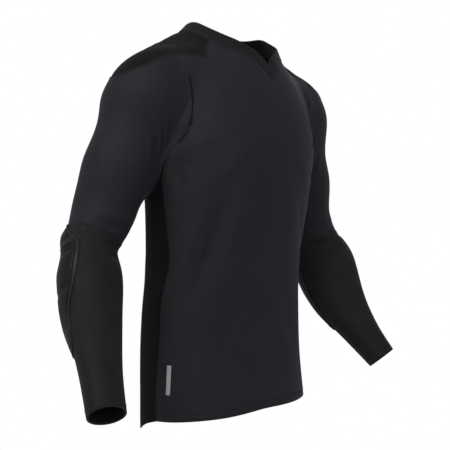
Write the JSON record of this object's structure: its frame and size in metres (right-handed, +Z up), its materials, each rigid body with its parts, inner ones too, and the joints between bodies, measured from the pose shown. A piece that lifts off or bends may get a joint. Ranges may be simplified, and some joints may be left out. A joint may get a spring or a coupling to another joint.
{
  "type": "padded compression shirt",
  "caption": "Black long-sleeved V-neck compression shirt, hollow as if worn, with thin padded shoulders, moulded elbow pads, mesh sides and a plain hem label.",
  "frame": {"origin": "on the centre line, level with the points where the collar crosses the tops of the shoulders", "axes": "+Z up, the front faces -Y, the wearer's left is +X"},
  "size_m": [0.712, 0.2699, 0.7362],
  "materials": {
    "body_knit": "smooth black knit with a soft sheen",
    "side_mesh": "matte black open mesh knit",
    "shoulder_cloth": "matte black knit over thin foam",
    "sleeve_mesh": "fine black mesh knit",
    "elbow_cloth": "black cloth moulded over foam",
    "elbow_trim_cloth": "smooth black bonded edge with a light sheen",
    "collar_knit": "folded black knit band",
    "label_cloth": "plain white woven label"
  },
  "bodies": {
    "root": {"front": "body_knit", "back": "body_knit", "side_panel_left": "side_mesh", "side_panel_right": "side_mesh", "collar": "collar_knit", "shoulder_pad_left": "shoulder_cloth", "shoulder_pad_right": "shoulder_cloth", "upper_sleeve_left": "body_knit", "upper_sleeve_right": "body_knit", "lower_sleeve_left": "sleeve_mesh", "lower_sleeve_right": "sleeve_mesh", "elbow_pad_left": "elbow_cloth", "elbow_pad_right": "elbow_cloth", "elbow_trim_left": "elbow_trim_cloth", "elbow_trim_right": "elbow_trim_cloth", "hem_label": "label_cloth"}
  },
  "joints": []
}
